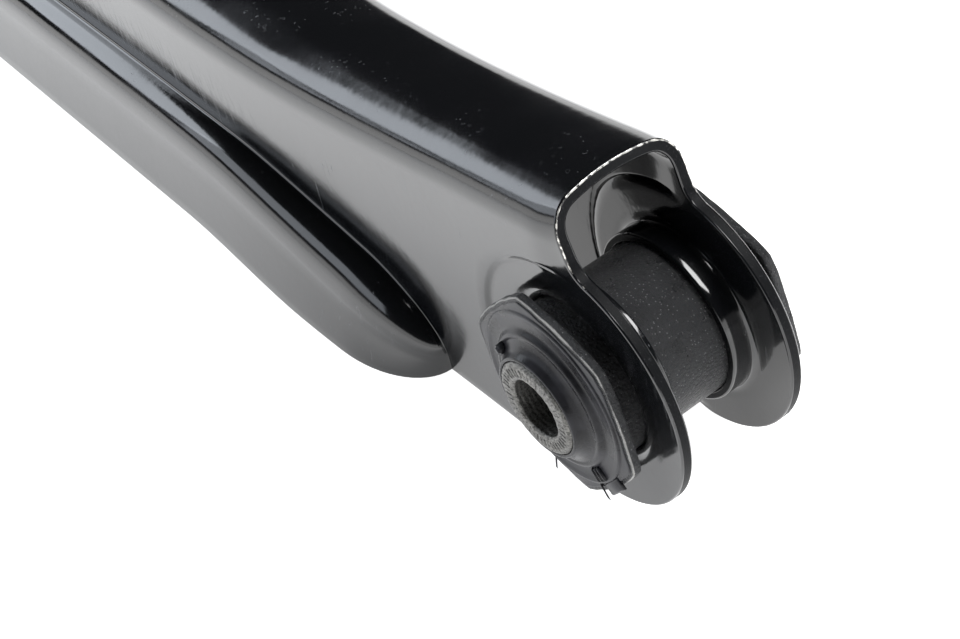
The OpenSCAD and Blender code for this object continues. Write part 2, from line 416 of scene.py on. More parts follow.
def vertex_normals(points, faces):
    """Area-weighted normals of a surface's points."""
    triangles = np.array([(f[0], f[i], f[i + 1]) for f in faces for i in range(1, len(f) - 1)])
    a, b, c = (points[triangles[:, k]] for k in range(3))
    across = np.cross(b - a, c - a)
    normals = np.zeros_like(points)
    for k in range(3):
        np.add.at(normals, triangles[:, k], across)
    return normals / np.maximum(np.linalg.norm(normals, axis=1), 1e-12)[:, None]


def sheet_body(points, faces, thickness):
    """Gives a surface its thickness inwards, with rounded rims. Returns points, faces, wear and
    the numbers of the faces that the shears cut."""
    normals = vertex_normals(points, faces)
    count = len(points)
    inner = points - normals * thickness[:, None]
    solid = list(faces) + [[v + count for v in reversed(f)] for f in faces]
    cut = []
    directed = {(f[i - 1], f[i]) for f in faces for i in range(len(f))}
    after = {a: b for a, b in directed if (b, a) not in directed}
    before = {b: a for a, b in after.items()}
    rows = 2 * (EDGE_STEPS + 1)
    rim_points, rim_wear, start = [], [], {}
    wear = np.zeros(2 * count)
    for v in after:
        start[v] = 2 * count + len(rim_points)
        along = points[after[v]] - points[before[v]]
        out = np.cross(along / np.linalg.norm(along), normals[v])
        n, far = normals[v], points[v] - normals[v] * thickness[v]
        near_rows, far_rows = [], []
        for k in range(1, EDGE_STEPS + 1):
            a = QUARTER * k / EDGE_STEPS
            slide, sink = EDGE_ROUND * math.sin(a), EDGE_ROUND * (1 - math.cos(a))
            near_rows.append(points[v] + slide * out - sink * n)
            far_rows.append(far + slide * out + sink * n)
        near_rows.append(near_rows[-1] - EDGE_LAND * n)
        far_rows.append(far_rows[-1] + EDGE_LAND * n)
        rim_points += near_rows + far_rows[::-1]
        rim_wear += RIM_WEAR
        wear[v] = FACE_WEAR
    sheared = range(EDGE_STEPS, EDGE_STEPS + 3)      # rows between the two roundings
    for v, nxt in after.items():
        column = [v] + list(range(start[v], start[v] + rows)) + [v + count]
        other = [nxt] + list(range(start[nxt], start[nxt] + rows)) + [nxt + count]
        for k in range(len(column) - 1):
            if k in sheared:
                cut.append(len(solid))
            solid.append([column[k + 1], other[k + 1], other[k], column[k]])
    everything = np.concatenate([points, inner, np.array(rim_points)])
    return everything, solid, np.concatenate([wear, rim_wear]), cut


class Pressing:
    """The channel, its ears and their collars as one surface."""

    seam = 45                    # the ear's patch meets the channel's at this distance
    trim_lean, trim_knee = 4.2, 28        # the trim leans back by this above the knee's height
    kink_radius, kink_start, kink_shift = 6.0, 0.3, 1.0      # hollow between trim and ear
    hole = 16.55                 # radius of the collar's hole
    root = 3.0                   # rounding where the skirt leaves the wall
    pad_depth, pad_soft = 0.8, 1.7        # the pad's depth and the width of its border
    pad_open, pad_open_run = 4, 10        # the border fades out towards the trimmed end
    entry_round, entry_deep = 4.0, 3.2    # rounding from the pad into the collar
    collar_end = 7.0             # the collar's inner end, from the middle plane
    foot_run = 8                 # the ear's foot runs into the skirtless edge over this length
    columns, trim_columns, outer_stations = 58, 26, 9
    collar_rows, bend_rows = 4, 8
    nose_rows, root_rows = 16, 5
    line_points, kink_points, ear_points, foot_points = 4, 9, 62, 16    # round the ear's border
    ear_wear = 0.50              # the ears' rims are less worn than the web's,
    wear_from, wear_run = 20, 12          # which starts at this height and grows over that
    # radii of the rings of points across the pad's border
    side_rings = (21.6, 23.2, 24.6, 25.3, 25.7, 26.1, 26.5, 26.9)

    def __init__(self, sizes):
        self.section = Section(sizes)
        take(self, sizes, "sheet", "collar_sheet", "ear_radius", "pad_radius", "span")
        self.ear = self.ear_radius - EDGE_ROUND
        self.middle = self.span / 2
        self.last_corner = Section.rows["web"] + Section.rows["corner"] - 1

    def pad_sink(self, x, z):
        """How far the wall is pressed in around the hole."""
        outside = ease((np.hypot(x, z) - self.pad_radius + self.pad_soft / 2) / self.pad_soft)
        walled = ease((self.pad_open - x) / self.pad_open_run)
        return self.pad_depth * (1 - outside * walled)

    def column(self, x):
        """One whole section at x, outline order, as xyz."""
        outline = self.section.outline(-x)
        return np.stack([np.full(len(outline), x), outline[:, 0], outline[:, 1]], 1)

    def trim_x(self, z):
        """Place of the trimmed end at a height."""
        lean = self.trim_lean / (self.section.web_end - self.trim_knee)
        return self.trim_lean - np.maximum(z - self.trim_knee, 0) * lean - EDGE_ROUND

    def channel_grid(self):
        """The full section from the seam to the middle of the arm."""
        start = Section.skirt_start
        a = np.linspace(0, QUARTER, self.root_rows)
        lead = start - self.root + self.root * np.sin(a)
        a = np.linspace(0, QUARTER, self.nose_rows)
        nose = start + Section.nose_length * (1 - np.cos(a))[1:]
        rest = np.linspace(nose[-1], self.middle, self.columns - len(nose))[1:]
        stations = np.concatenate([[self.seam], lead[1:], nose, rest])
        return np.array([self.column(-s) for s in stations])

    def trim_grid(self, seam_column):
        """Web and corner from the seam to the trimmed end."""
        rows = self.last_corner + 1
        end_z = self.column(0.0)[:rows, 2]
        x_end = self.trim_x(end_z)
        u = np.sin(np.linspace(0, QUARTER, self.trim_columns))
        grid = np.empty((self.trim_columns, rows, 3))
        for i, t in enumerate(u):
            for j in range(rows):
                x = -self.seam + (x_end[j] + self.seam) * t
                grid[i, j] = self.column(x)[j]
        grid[0] = seam_column[:rows]
        tilt = np.clip((np.arange(rows) - Section.rows["web"] + 1) / Section.rows["corner"], 0, 1)
        grid[..., 1] -= self.pad_sink(grid[..., 0], grid[..., 2]) * np.sin(tilt * QUARTER) ** 2
        return grid

    def wall_point(self, x, z):
        y = self.section.wall_y(max(-x, 0.0)) - self.pad_sink(x, z)
        return [x, y, z]

    def ear_boundary(self, top_row, seam_rows):
        """Boundary of the wall's patch, from the trim round the ear to the seam and back."""
        x0, _, z0 = top_row[-1]
        lean = math.atan2(self.trim_lean, self.section.web_end - self.trim_knee)
        across = np.array([-math.cos(lean), -math.sin(lean)])
        x_line = self.trim_x(self.trim_knee) + self.kink_start
        cx = x_line + self.kink_radius * math.cos(lean) - self.kink_shift
        reach = self.ear + self.kink_radius
        cz = math.sqrt(reach * reach - cx * cx)
        a0, a1 = math.atan2(across[1], across[0]), math.atan2(-cz, -cx)
        kink = [(cx + self.kink_radius * math.cos(a), cz + self.kink_radius * math.sin(a))
                for a in np.linspace(a0, a1, self.kink_points)]
        line = [tuple(p) for p in np.linspace((x0, z0), kink[0], self.line_points)[1:-1]]
        ear = [(self.ear * math.cos(a), self.ear * math.sin(a))
               for a in np.linspace(math.atan2(cz, cx), -QUARTER, self.ear_points)[1:]]
        bottom = []
        for x in np.linspace(0, -self.seam, self.foot_points)[1:-1]:
            blend = ease(-x / self.foot_run)
            z = (1 - blend) * -self.ear + blend * (self.section.bottom_z(-x) + EDGE_ROUND)
            bottom.append((x, z))
        seam = [(p[0], p[2]) for p in seam_rows[::-1]]
        top = [(p[0], p[2]) for p in top_row[1:]]
        return line + kink + ear + bottom + seam + top

    def ear_grid(self, boundary):
        """Rays from the hole to the boundary, with the collar's profile at the hole."""
        boundary = np.array(boundary)
        angle = np.arctan2(boundary[:, 1], boundary[:, 0])
        face_ring = self.hole + self.entry_round
        near = np.stack([np.cos(angle), np.sin(angle)], 1)
        collar_y = self.collar_end + EDGE_ROUND
        stations = []
        face_y = np.array([self.wall_point(*(face_ring * d))[1] for d in near])
        for y in np.linspace(collar_y, face_y[0] - self.entry_deep, self.collar_rows + 1)[:-1]:
            stations.append([[self.hole * d[0], y, self.hole * d[1]] for d in near])
        for a in np.linspace(0, QUARTER, self.bend_rows):
            r = self.hole + self.entry_round * (1 - math.cos(a))
            sink = self.entry_deep * (1 - math.sin(a))
            stations.append([[r * d[0], f - sink, r * d[1]] for d, f in zip(near, face_y)])
        for r in self.side_rings:
            stations.append([self.wall_point(*(r * d)) for d in near])
        inner = near * self.side_rings[-1]
        for t in np.linspace(0, 1, self.outer_stations)[1:]:
            stations.append([self.wall_point(*q) for q in inner + (boundary - inner) * t])
        thin = np.full(len(stations), self.sheet)
        first, last = self.collar_rows, self.collar_rows + self.bend_rows
        thin[:first] = self.collar_sheet
        thin[first:last] = np.linspace(self.collar_sheet, self.sheet, self.bend_rows)
        return np.array(stations), thin

    def build(self, paint, sheared):
        surface = Surface()
        channel = self.channel_grid()
        surface.patch(channel[::-1], self.sheet)
        trim = self.trim_grid(channel[0])
        surface.patch(trim, self.sheet)
        top_row = trim[:, -1]
        seam_rows = channel[0][self.last_corner:]
        boundary = self.ear_boundary(top_row, seam_rows)
        # the patch's own border points are the neighbours' points, so that they weld
        grid, thin = self.ear_grid(boundary)
        border = np.concatenate([seam_rows[::-1], top_row[1:]])
        grid[-1, -len(border):] = border
        grid = np.concatenate([grid, grid[:, :1]], axis=1)
        surface.patch(grid, thin[:, None])
        surface.mirrored(1, 0.0)
        surface.mirrored(0, -self.middle)
        points, faces, thickness = surface.welded()
        points, faces, wear, cut = sheet_body(points, faces, thickness)
        high = ease((points[:, 2] - self.wear_from) / self.wear_run)
        wear = wear * (self.ear_wear + (1 - self.ear_wear) * high)
        made = new_object("pressing", points, faces, paint, {"wear": wear})
        made.data.materials.append(sheared)
        for i in cut:
            made.data.polygons[i].material_index = 1
        return made


# ---- turned and moulded parts ---------------------------------------------------

def revolve(profiles, x_place):
    """Closed ring about the bush axis from one outline of (radius, y) points per angle."""
    count, rows = profiles.shape[:2]
    a = 2 * math.pi * np.arange(count) / count
    r, y = profiles[..., 0], profiles[..., 1]
    points = np.stack([r * np.cos(a)[:, None] + x_place, y, r * np.sin(a)[:, None]], -1)
    faces = []
    for i in range(count):
        j = (i + 1) % count
        for k in range(rows):
            m = (k + 1) % rows
            faces.append([i * rows + k, j * rows + k, j * rows + m, i * rows + m])
    return points.reshape(-1, 3), faces


def outward(made):
    """Turns a closed mesh's faces outwards."""
    work = bmesh.new()
    work.from_mesh(made.data)
    bmesh.ops.remove_doubles(work, verts=work.verts, dist=SAME_PLACE)
    bmesh.ops.recalc_face_normals(work, faces=work.faces)
    work.to_mesh(made.data)
    work.free()
    return made


def rounded(corner_points, radius, steps):
    """Closed outline with its corners rounded, by one radius or by one for each corner."""
    corners = np.array(corner_points, float)
    most = 0.45                  # a rounding takes at most this share of a side
    out = []
    for i, p in enumerate(corners):
        a, b = corners[i - 1], corners[(i + 1) % len(corners)]
        r = radius[i] if np.ndim(radius) else radius
        to_a, to_b = a - p, b - p
        la, lb = np.linalg.norm(to_a), np.linalg.norm(to_b)
        cut = min(r, most * la, most * lb)
        out += list(curve(p + to_a / la * cut, p, p + to_b / lb * cut, steps + 1))
    return np.array(out)


class Bush:
    """One rubber bush: outer sleeve with a flange, end plate, rubber and inner sleeve."""

    steps = 216                  # points around the axis
    chamfer, bore_chamfer = 0.6, 0.5
    worn = 0.65                  # width of the rubbed line along a flange's outer edge
    play = 0.02                  # gap that keeps two touching pieces' faces apart
    torn = {"near": 0.22, "far": 0.18, "skin": 0.3}      # depth of the tears in each edge
    corner_power = 14.0          # sharpness of the flange's corners
    skin, skin_inset = 0.22, 0.85        # rubber skin left on the flange's face
    saw_marks, end_trim = 0.03, 0.12     # unevenness of the inner sleeve's ends
    # moulded face of the rubber, outwards from the inner sleeve: (radius, distance from the
    # middle plane), and then the disc on the flange: (radius, height over the flange's face)
    dish = ((10.06, 24.9), (10.75, 24.95), (10.95, 24.4), (11.3, 23.6), (12.2, 22.75),
            (13.3, 22.25), (13.7, 22.35), (14.3, 22.3), (14.75, 21.75), (15.2, 21.25),
            (15.9, 21.2), (17.2, 21.25))
    disc = ((18.3, 0.65), (18.7, 0.45), (18.82, 0.2))

    def __init__(self, sizes, end, x_place):
        self.end, self.x = end, x_place
        take(self, sizes, "sleeve_radius", "sleeve_wall", "flange_face", "flange_thickness",
             "flange_flat", "flange_corner", "inner_half", "inner_radius", "bore_radius")
        self.turn = sizes.flange_turn
        self.angles = 2 * math.pi * np.arange(self.steps) / self.steps

    def flange_outline(self, side, torn):
        """Radius of the six-sided flange at every angle, less the tears in its edge."""
        turned = (self.angles + self.turn) % (math.pi / 3) - math.pi / 6
        flat = self.flange_flat / np.cos(turned)
        power = self.corner_power
        radius = (flat ** -power + self.flange_corner ** -power) ** (-1 / power)
        radius *= self.flange_flat / radius.min()
        waves = (np.sin(11 * self.angles + side) * np.sin(5 * self.angles + 2.1 * side)
                 + 0.6 * np.sin(31 * self.angles + 0.7) * np.sin(7 * self.angles))
        return np.minimum(radius, self.flange_corner) - torn * (0.5 + 0.5 * waves)

    def rim_wear(self, points, flange, side):
        """Wear along the outer edge of a flange."""
        rim = np.hypot(points[:, 0] - self.x, points[:, 2])
        edge = np.repeat(flange, len(points) // self.steps)
        near = np.clip((side * points[:, 1] - self.flange_face + self.worn) / self.worn, 0, 1)
        return np.clip((rim - edge + self.worn) / self.worn, 0, 1) * near

    def turn_piece(self, name, outline, finish, body, slot, replaced, wear=None):
        """Makes a piece from its outline at every angle and closes it off."""
        points, faces = revolve(np.array([outline(i) for i in range(self.steps)]), self.x)
        attributes = {"wear": wear(points)} if wear else None
        made = new_object(f"{self.end}_{name}", points, faces, finish, attributes)
        finish_piece(outward(made), body, slot, f"{self.end}_{replaced}")

    def outer_sleeve(self, coat):
        """Sleeve and near flange in one: the sleeve's end is rolled out into the flange."""
        flange = self.flange_outline(-1, self.torn["near"])
        r0, r1 = self.sleeve_radius - self.sleeve_wall, self.sleeve_radius
        y0, y1 = -self.flange_face, self.flange_face
        neck = y0 + self.flange_thickness

        def outline(i):
            corners = [(r0, y0), (flange[i], y0), (flange[i], neck), (r1, neck), (r1, y1), (r0, y1)]
            return rounded(corners, (0.1, 0.45, 0.6, 1.1, 0.3, 0.1), 4)
        self.turn_piece("sleeve_and_flange", outline, coat, "arm", "rough_black_coat",
                        "outer_sleeve", lambda points: self.rim_wear(points, flange, -1))

    def end_plate(self, coat):
        """Far flange, a plate pressed over the sleeve's plain end."""
        flange = self.flange_outline(1, self.torn["far"])
        r1 = self.sleeve_radius + self.play
        y1, y0 = self.flange_face, self.flange_face - self.flange_thickness

        def outline(i):
            return rounded([(r1, y0), (flange[i], y0), (flange[i], y1), (r1, y1)],
                           (0.3, 0.6, 0.45, 0.2), 4)
        self.turn_piece("far_flange", outline, coat, "arm", "rough_black_coat",
                        "end_plate", lambda points: self.rim_wear(points, flange, 1))

    def rubber(self, rubber):
        """Rubber spring with a dished, stepped face at each end and a skin over each flange."""
        core = self.sleeve_radius - self.sleeve_wall - self.play
        skins = [self.flange_outline(side, self.torn["skin"]) - self.skin_inset for side in (-1, 1)]
        face = self.flange_face
        moulded = list(self.dish) + [(r, face + lift) for r, lift in self.disc]

        def end_outline(edge):
            return moulded + [(edge - 0.25, face + self.skin), (edge, face + 0.05),
                              (edge - 0.1, face + 0.01), (core, face + 0.01)]

        def outline(i):
            near = [(r, -y) for r, y in end_outline(skins[0][i])]
            return rounded(near + end_outline(skins[1][i])[::-1], 0.28, 2)
        self.turn_piece("rubber_spring", outline, rubber, "arm", "bush_rubber", "rubber")

    def inner_sleeve(self, steel):
        """Thick inner sleeve with a chamfered bore and slightly uneven ends."""
        inside, outside = self.bore_radius, self.inner_radius
        c, b = self.chamfer, self.bore_chamfer
        waves = np.sin(9 * self.angles) * np.sin(4 * self.angles + 1) + np.sin(23 * self.angles)
        ends = self.inner_half - self.end_trim + waves * self.saw_marks

        def outline(i):
            end = ends[i]
            return rounded([(inside, -end + b), (inside + b, -end), (outside - c, -end),
                            (outside, -end + c), (outside, end - c), (outside - c, end),
                            (inside + b, end), (inside, end - b)], 0.2, 2)
        self.turn_piece("centre_sleeve", outline, steel, f"{self.end}_inner", "bare_steel",
                        "inner_sleeve")


# ---- repeated details with geometry nodes ------------------------------------------

class Detail(NamedTuple):
    """Blocks repeated on an arc about a bush axis, in millimetres and degrees."""

    name: str
    size: tuple
    taper: float                 # width of a block's top, as a share of its foot's
    count: int
    radius: float
    first: float
    step: float
    height: float
    jitter: float = 0.0
    seed: int = 1


MOULDED = (
    Detail("ribs", (3.6, 0.9, 0.55), 0.75, 3, 16.6, -52.5, 4.6, -21.45),
    Detail("nib", (2.3, 2.6, 2.0), 0.85, 1, 12.9, 148, 0, -22.7),
    Detail("flash", (2.9, 0.6, 7.6), 0.7, 1, 19.9, -41, 0, -21.15),
    Detail("threads", (5.0, 0.34, 0.34), 0.6, 2, 20.4, -100, 44, -21.2, 0.3, 3),
)
TOOTH = Detail("teeth", (2.3, 0.3, 0.28), 0.75, 0, 8.0, 0, 0, 0.15, 0.2)
BEVEL_SHARE = 0.18               # bevel of a block's edges, as a share of its smallest side


def block(name, size, taper):
    """A small block with a narrower top and bevelled edges, standing along -Y; sizes in mm."""
    made = bpy.data.meshes.new(name)
    work = bmesh.new()
    bmesh.ops.create_cube(work, size=1.0)
    for v in work.verts:
        narrow = taper if v.co.y < 0 else 1.0
        v.co = Vector((v.co.x * size[0] * narrow, v.co.y * size[1], v.co.z * size[2] * narrow)) * MM
    bevel = min(size) * MM * BEVEL_SHARE
    bmesh.ops.bevel(work, geom=work.edges[:], offset=bevel, segments=2, affect="EDGES")
    work.to_mesh(made)
    work.free()
    made.shade_smooth()
    return made


def fan_tree(name):
    """Geometry nodes: copies of a shape set on an arc about the bush axis, each turned with it."""
    tree = bpy.data.node_groups.new(name, "GeometryNodeTree")
    face = tree.interface
    face.new_socket("Geometry", in_out="OUTPUT", socket_type="NodeSocketGeometry")
    for label, kind in (("Geometry", "Geometry"), ("Count", "Int"), ("Radius", "Float"),
                        ("First angle", "Float"), ("Step angle", "Float"), ("Centre", "Vector"),
                        ("Size jitter", "Float"), ("Seed", "Int"), ("Finish", "Material")):
        face.new_socket(label, in_out="INPUT", socket_type=f"NodeSocket{kind}")
    given = node(tree, "NodeGroupInput").outputs
    n = Nodes(tree)
    points = n.result("GeometryNodePoints", {"Count": given["Count"]})
    index = n.result("GeometryNodeInputIndex", {})
    angle = n.maths("MULTIPLY_ADD", index, given["Step angle"], given["First angle"])
    x = n.maths("MULTIPLY", n.maths("COSINE", angle), given["Radius"])
    z = n.maths("MULTIPLY", n.maths("SINE", angle), given["Radius"])
    arc = n.result("ShaderNodeCombineXYZ", {"X": x, "Z": z})
    place = n.result("ShaderNodeVectorMath", {"operation": "ADD", 0: arc, 1: given["Centre"]})
    moved = n.result("GeometryNodeSetPosition", {"Geometry": points, "Position": place})
    turn = n.result("ShaderNodeCombineXYZ", {"Y": n.maths("MULTIPLY", angle, -1.0)})
    rotation = n.result("FunctionNodeEulerToRotation", {0: turn})
    least = n.maths("SUBTRACT", 1.0, given["Size jitter"])
    scale = n.result("FunctionNodeRandomValue", {
        "data_type": "FLOAT", 2: least, 3: 1.0, "Seed": given["Seed"]}, 1)
    copies = n.result("GeometryNodeInstanceOnPoints", {
        "Points": moved, "Instance": given["Geometry"], "Rotation": rotation, "Scale": scale})
    solid = n.result("GeometryNodeRealizeInstances", {0: copies})
    painted = n.result("GeometryNodeSetMaterial", {"Geometry": solid, "Material": given["Finish"]})
    node(tree, "NodeGroupOutput", {0: painted})
    return tree


def fan(name, tree, detail, centre, finish):
    """Runs the fan tree on a detail's block and returns the result as a plain mesh object."""
    values = {
        "Count": detail.count, "Radius": detail.radius * MM,
        "First angle": math.radians(detail.first), "Step angle": math.radians(detail.step),
        "Centre": [v * MM for v in centre], "Size jitter": detail.jitter, "Seed": detail.seed,
        "Finish": finish}
    source = link_object(name + "_shape", block(detail.name, detail.size, detail.taper))
    modifier = source.modifiers.new("Fan", "NODES")
    modifier.node_group = tree
    for item in tree.interface.items_tree:
        if item.in_out == "INPUT" and item.name in values:
            modifier[item.identifier] = values[item.name]
    graph = bpy.context.evaluated_depsgraph_get()
    mesh = bpy.data.meshes.new_from_object(source.evaluated_get(graph))
    source.modifiers.remove(modifier)
    bpy.data.objects.remove(source)
    mesh.name = name
    return link_object(name, mesh)


# ---- finishes --------------------------------------------------------------------------

class Finish(Nodes):
    """A new node material; `place` is the point on the object that its patterns follow."""

    def __init__(self, name):
        self.made = bpy.data.materials.new(name)
        self.made.use_nodes = True
        super().__init__(self.made.node_tree, "Object")

    def shade(self, **settings):
        """Gives the surface shader its values or results; underscores stand for spaces."""
        feed(self.tree.nodes["Principled BSDF"],
             {key.replace("_", " "): value for key, value in settings.items()})


def electrocoat(m, finishes):
    """Gloss black electrocoat on pressed steel: deep black, sharp reflections that waver a
    little with the sheet, fine scratches from handling, dust, and bare bright cut edges."""
    film = m.bump(m.noise(0.0022, 2.0), 0.10, 0.00012)
    sheet = m.bump(m.noise(0.030, 1.0), 0.25, 0.0006, film)
    # scratches: lines 0.1 mm wide, stretched down the wall
    stretched = m.drawn_out((0.12, 0.35, 0.1), (0.0011, 0.0011, 0.022))
    streaks = m.noise(1.0, 1.0, stretched, Roughness=0.4)
    lines = m.ramp(streaks, (0.0, 0.0), (0.70, 0.0), (0.715, 1.0), (0.73, 0.0), (1.0, 0.0))
    patches = m.noise(0.018, 2.0)
    zone = m.ramp(patches, (0.0, 0.0), (0.52, 0.0), (0.62, 1.0), (1.0, 1.0))
    marks = m.maths("MULTIPLY", lines, zone)
    # scrapes from a neighbouring part: 0.2 mm wide, 10 mm long, in places on the upper wall
    raked = m.drawn_out((0.0, 0.16, 0.0), (0.0007, 0.010, 0.014))
    scrape = m.ramp(m.noise(1.0, 2.0, raked, Roughness=0.6),
                    (0.0, 0.0), (0.56, 0.0), (0.60, 1.0), (0.64, 0.2))
    height = m.result("ShaderNodeSeparateXYZ", {0: m.place}, "Z")
    belt = m.maths("MULTIPLY", m.remap(height, 0.021, 0.012, 0.0, 1.0),
                   m.remap(height, 0.002, 0.006, 0.0, 1.0))
    places = m.ramp(m.noise(0.055, 1.0), (0.0, 0.0), (0.44, 0.0), (0.54, 0.9))
    scraped = m.maths("MULTIPLY", m.maths("MULTIPLY", belt, places), scrape)
    # dust: flecks 0.15 mm across, a few per square centimetre
    specks = m.result("ShaderNodeTexVoronoi", {
        "Scale": 1 / 0.011, "Randomness": 1.0, "Vector": m.place}, "Distance")
    dust = m.ramp(specks, (0.0, 0.4), (0.006, 0.2), (0.010, 0.0), (1.0, 0.0))
    soiled = m.maths("MAXIMUM", marks, m.maths("MULTIPLY", dust, zone))
    faint = m.maths("MULTIPLY_ADD", scraped, 0.5, soiled)
    # bare metal where the film has drawn back from the cut edge
    patchy = m.maths("MULTIPLY_ADD", m.noise(0.0013, 4.0), 1.1, 0.32)
    bare = m.ramp(m.maths("MULTIPLY", patchy, m.wear()), (0.0, 0.0), (0.74, 0.0), (0.86, 1.0))
    film_colour = m.tint(faint, (*finishes.paint, 1.0), linear("#444548"))
    film_rough = m.between(faint, m.remap(patches, 0.35, 0.7, 0.085, 0.15), 0.45)
    m.shade(Base_Color=m.tint(bare, film_colour, linear("#c9c7c2")),
            Roughness=m.between(bare, film_rough, 0.38), Metallic=bare, Normal=sheet, IOR=1.55)


def sheared_edge(m, finishes):
    """Sheared edge of the sheet under a starved film of coat: torn across its thickness, so it
    is dull and nearly black, with grey glints painted into its colour along the tear."""
    tear = m.noise(0.0004, 4.0)
    # painted highlight: grey glints along the tear, set into the base colour
    painted_glint_mask = m.ramp(tear, (0.0, 0.0), (0.6, 0.0), (0.8, 1.0))
    m.shade(Base_Color=m.tint(painted_glint_mask, (*finishes.paint, 1.0), linear("#2e2e30")),
            Normal=m.bump(tear, 0.6, 0.0001), Roughness=0.5, Specular_IOR_Level=0.07)


def sleeve_coat(m, finishes):
    """Thin black bonding coat over a blasted steel sleeve: grains of about 0.4 mm, with sparks
    of light painted into the colour on their peaks, matt between them, rubbed to grey metal at the
    flange's rim."""
    grains = m.noise(0.0009, 6.0, Roughness=0.8)
    pits = m.result("ShaderNodeTexVoronoi", {"Scale": 1 / 0.0007, "Vector": m.place}, "Distance")
    dents = m.bump(pits, 0.9, 0.0002, m.bump(grains, 1.0, 0.0006))
    blotch = m.noise(0.006, 4.0)
    bare = m.ramp(m.maths("MULTIPLY_ADD", blotch, 0.7, m.wear()),
                  (0.0, 0.0), (0.85, 0.0), (1.0, 0.55))
    tone = m.tint(blotch, (*finishes.coat, 1.0), linear("#303133"))
    # painted highlight: light grey sparks on the grain peaks, set into the base colour
    painted_spark_mask = m.ramp(pits, (0.0, 1.0), (0.10, 0.6), (0.22, 0.0), (1.0, 0.0))
    with_painted_sparks = m.tint(m.maths("MULTIPLY", painted_spark_mask, blotch), tone, linear("#a0a0a2"))
    m.shade(Base_Color=m.tint(bare, with_painted_sparks, linear("#b4b3b0")),
            Roughness=m.remap(blotch, 0.3, 0.7, 0.24, 0.42), Normal=dents, IOR=1.5,
            Specular_IOR_Level=0.25)


def moulded_rubber(m, finishes):
    """Carbon black natural rubber from a steel mould: dark grey with a satin skin, fine grain
    from the mould's surface, and a pale bloom in patches."""
    bloom = m.noise(0.005, 5.0)
    pale = m.ramp(bloom, (0.0, 0.0), (0.38, 0.0), (0.75, 1.0))
    m.shade(Base_Color=m.tint(pale, (*finishes.rubber, 1.0), linear("#2c2c30")),
            Roughness=m.remap(bloom, 0.3, 0.7, 0.22, 0.36),
            Normal=m.bump(m.noise(0.0005, 3.0), 0.35, 0.00006), IOR=1.5, Specular_IOR_Level=0.13)


def cut_steel(m, finishes):
    """Cut and tumbled steel tube: dull light grey, speckled with dark pits, with the saw's
    and drill's marks left in it."""
    speckle = m.noise(0.0005, 4.0, Roughness=0.7)
    stain = m.noise(0.004, 4.0)
    dots = m.ramp(speckle, (0.0, 0.0), (0.34, 0.0), (0.6, 1.0))
    patina = m.ramp(stain, (0.0, 0.35), (0.4, 0.5), (0.7, 1.0))
    ground = m.tint(dots, linear("#262523"), (*finishes.steel, 1.0))
    turning = m.result("ShaderNodeTexWave", {
        "bands_direction": "Y", "Scale": 1 / 0.0035, "Distortion": 3.0, "Detail": 2.0,
        "Vector": m.place}, "Fac")
    m.shade(Base_Color=m.tint(0.6, ground, patina, "MULTIPLY"),
            Roughness=m.remap(speckle, 0.3, 0.7, 0.55, 0.38),
            Metallic=m.remap(stain, 0.3, 0.6, 0.45, 0.85),
            Normal=m.bump(turning, 0.3, 0.0001, m.bump(speckle, 0.6, 0.00012)))


def light_table(m, finishes):
    """Opal acrylic of a light table: matt, white and evenly lit from below, so that it throws
    no hard shadow, a trace cloudy, and dimmer far out, with a painted shadow in its glow close beside
    the arm."""
    white = m.tint(m.noise(0.4, 2.0), linear("#f0f0f0"), linear("#f6f6f6"))
    distance = m.result("ShaderNodeVectorMath", {"operation": "LENGTH", 0: m.place}, "Value")
    distance_for_painted_shadow = m.maths("ABSOLUTE", m.result("ShaderNodeSeparateXYZ", {0: m.place}, "Y"))
    # painted shadow: the glow is dimmed close beside the arm, where the arm would shade the table; it
    # also fades far out
    level = m.maths("MULTIPLY", m.remap(distance, 0.3, 0.9, 1.0, 0.55),
                    m.remap(distance_for_painted_shadow, 0.032, 0.075, 0.75, 1.0))
    m.shade(Base_Color=white, Emission_Color=m.tint(1.0, white, level, "MULTIPLY"),
            Emission_Strength=finishes.table_glow, Roughness=0.8, Specular_IOR_Level=0.1)


FINISH_MAKERS = {
    "gloss_black_electrocoat": electrocoat,
    "sheared_edge_under_coat": sheared_edge,
    "rough_black_sleeve_coat": sleeve_coat,
    "satin_moulded_rubber": moulded_rubber,
    "dull_cut_steel": cut_steel,
    "opal_acrylic_table": light_table,
}


def finish_named(name, context):
    """The material of that name, made the first time it is asked for."""
    if name not in bpy.data.materials:
        FINISH_MAKERS[name](Finish(name), context.scene.arm_finishes)
    return bpy.data.materials[name]


# ---- operators ---------------------------------------------------------------------------

def bushes(context):
    """Both bushes, front first."""
    span = context.scene.arm_sizes.span / MM
    return [Bush(context.scene.bush_sizes, end, -span * i) for i, end in enumerate(BUSHES)]


class ARM_OT_pressing(bpy.types.Operator):
    """Builds the pressed channel with its ears, collars and flared skirts"""

    bl_idname = "control_arm.pressing"
    bl_label = "Pressing"

    least_faces = 1000

    def execute(self, context):
        paint = finish_named("gloss_black_electrocoat", context)
        sheared = finish_named("sheared_edge_under_coat", context)
        made = Pressing(context.scene.arm_sizes).build(paint, sheared)
        if len(made.data.polygons) < self.least_faces:
            raise RuntimeError("the pressing came out without its faces")
        finish_piece(made, "arm", "gloss_black_paint", "arm_pressing")
        return {"FINISHED"}


class ARM_OT_sleeves(bpy.types.Operator):
    """Builds both outer sleeves with their rolled flanges, and the far flanges"""

    bl_idname = "control_arm.sleeves"
    bl_label = "Outer sleeves and flanges"

    def execute(self, context):
        coat = finish_named("rough_black_sleeve_coat", context)
        for bush in bushes(context):
            bush.outer_sleeve(coat)
            bush.end_plate(coat)
        return {"FINISHED"}


